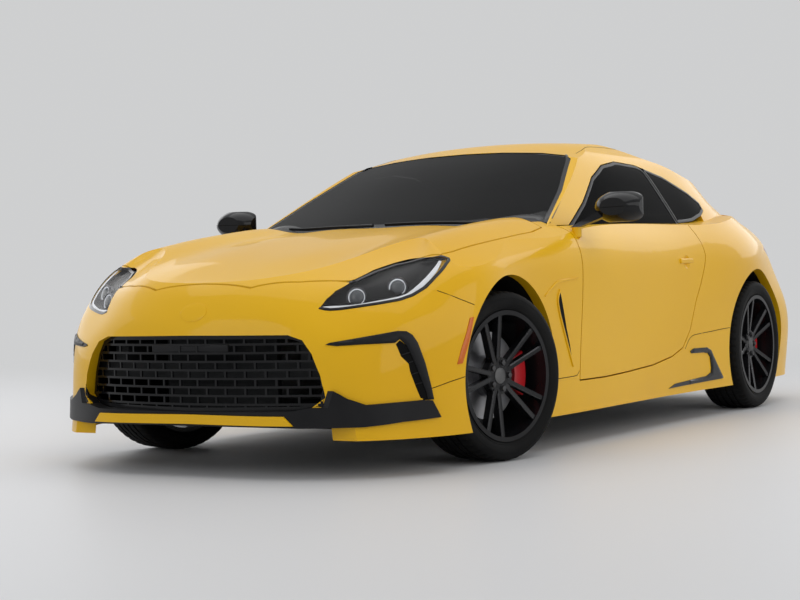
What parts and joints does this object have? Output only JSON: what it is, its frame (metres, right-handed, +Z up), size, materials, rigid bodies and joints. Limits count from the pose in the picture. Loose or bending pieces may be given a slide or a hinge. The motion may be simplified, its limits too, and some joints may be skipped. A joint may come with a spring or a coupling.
{
  "type": "coupe car",
  "caption": "Low front-engined coupe car with opening doors, bonnet and boot lid, folding mirrors and steered front wheels.",
  "frame": {"origin": "on the ground, under the middle of the car's length and width", "axes": "+X forward, +Y to the car's left, +Z up"},
  "size_m": [4.2765, 2.114, 1.3056],
  "materials": {
    "paint": "gloss",
    "black_trim": "gloss",
    "black_plastic": "satin",
    "glass": "gloss",
    "lamp": "gloss",
    "tail_lamp": "gloss",
    "tyre": "matt",
    "wheel": "gloss black with machined edges",
    "disc": "machined",
    "caliper": "gloss",
    "steel": "satin",
    "underbody": "matt",
    "cast": "matt",
    "exhaust": "polished",
    "upholstery": "woven",
    "alloy": "cast"
  },
  "bodies": {
    "chassis": {"floor_pan": "underbody", "cowl": "black_plastic", "front_bumper": "paint", "front_grille": "black_trim", "front_splitter": "black_trim", "lip_strip": "paint", "bumper_corners": "paint", "front_fenders": "paint", "headlamps": "lamp", "windscreen": "glass", "windscreen_frame": "paint", "roof_panel": "paint", "quarter_panels": "paint", "quarter_windows": "glass", "rear_window": "glass", "tail_lamps": "tail_lamp", "rear_bumper": "paint", "side_skirts": "paint", "wheel_liners": "black_plastic", "exhaust": "exhaust", "dashboard": "black_plastic", "front_seats": "upholstery", "rear_seat": "upholstery", "parcel_shelf": "upholstery", "front_suspension": "steel", "rear_suspension": "steel", "engine_block": "cast", "rear_calipers": "caliper"},
    "bonnet": {"bonnet": "paint"},
    "boot_lid": {"boot_lid": "paint"},
    "steering_wheel": {"steering_wheel": "black_plastic"},
    "door_left": {"door_left": "paint", "door_window_left": "glass"},
    "mirror_left": {"mirror_left": "black_trim"},
    "knuckle_left": {"knuckle_front_left": "alloy", "caliper_front_left": "caliper"},
    "door_right": {"door_right": "paint", "door_window_right": "glass"},
    "mirror_right": {"mirror_right": "black_trim"},
    "knuckle_right": {"knuckle_front_right": "alloy", "caliper_front_right": "caliper"},
    "wheel_front_left": {"tyre_front_left": "tyre", "rim_front_left": "wheel", "brake_disc_front_left": "disc"},
    "wheel_front_right": {"tyre_front_right": "tyre", "rim_front_right": "wheel", "brake_disc_front_right": "disc"},
    "wheel_rear_left": {"tyre_rear_left": "tyre", "rim_rear_left": "wheel", "brake_disc_rear_left": "disc"},
    "wheel_rear_right": {"tyre_rear_right": "tyre", "rim_rear_right": "wheel", "brake_disc_rear_right": "disc"}
  },
  "joints": [
    {"name": "bonnet_hinge", "type": "hinge", "parent": "chassis", "child": "bonnet", "pos_m": [0.77, 0, 0.915], "axis": [0, -1, 0], "range_deg": [0, 50]},
    {"name": "boot_hinge", "type": "hinge", "parent": "chassis", "child": "boot_lid", "pos_m": [-1.6225, 0, 1], "axis": [0, 1, 0], "range_deg": [0, 70]},
    {"name": "door_left_hinge", "type": "hinge", "parent": "chassis", "child": "door_left", "pos_m": [0.655, 0.848, 0.6], "axis": [0, 0, -1], "range_deg": [0, 65]},
    {"name": "mirror_left_fold", "type": "hinge", "parent": "door_left", "child": "mirror_left", "pos_m": [0.595, 0.806, 0.872], "axis": [0, 0, 1], "range_deg": [0, 50]},
    {"name": "steer_left", "type": "hinge", "parent": "chassis", "child": "knuckle_left", "pos_m": [1.2825, 0.7, 0.3145], "axis": [0, 0, 1], "range_deg": [-21.1, 44.9]},
    {"name": "door_right_hinge", "type": "hinge", "parent": "chassis", "child": "door_right", "pos_m": [0.655, -0.848, 0.6], "axis": [0, 0, 1], "range_deg": [0, 65]},
    {"name": "mirror_right_fold", "type": "hinge", "parent": "door_right", "child": "mirror_right", "pos_m": [0.595, -0.806, 0.872], "axis": [0, 0, -1], "range_deg": [0, 50]},
    {"name": "steer_right", "type": "hinge", "parent": "chassis", "child": "knuckle_right", "pos_m": [1.2825, -0.7, 0.3145], "axis": [0, 0, 1], "range_deg": [-21.1, 44.9]},
    {"name": "steering_wheel_turn", "type": "hinge", "parent": "chassis", "child": "steering_wheel", "pos_m": [0.1495, 0.3603, 0.7847], "axis": [-0.9063, 0, 0.4226], "range_deg": [-275.3, 584.7]},
    {"name": "wheel_front_left_spin", "type": "hinge", "parent": "knuckle_left", "child": "wheel_front_left", "pos_m": [1.29487, 0.75871, 0.3145], "axis": [0.2062, 0.9785, 0], "continuous": true},
    {"name": "wheel_rear_left_spin", "type": "hinge", "parent": "chassis", "child": "wheel_rear_left", "pos_m": [-1.2925, 0.775, 0.3145], "axis": [0, 1, 0], "continuous": true},
    {"name": "wheel_front_right_spin", "type": "hinge", "parent": "knuckle_right", "child": "wheel_front_right", "pos_m": [1.27013, -0.75871, 0.3145], "axis": [0.2062, 0.9785, 0], "continuous": true},
    {"name": "wheel_rear_right_spin", "type": "hinge", "parent": "chassis", "child": "wheel_rear_right", "pos_m": [-1.2925, -0.775, 0.3145], "axis": [0, 1, 0], "continuous": true}
  ],
  "couplings": [
    {"joint": "steer_right", "follows": "steer_left", "ratio": 1},
    {"joint": "steering_wheel_turn", "follows": "steer_left", "ratio": 13}
  ]
}
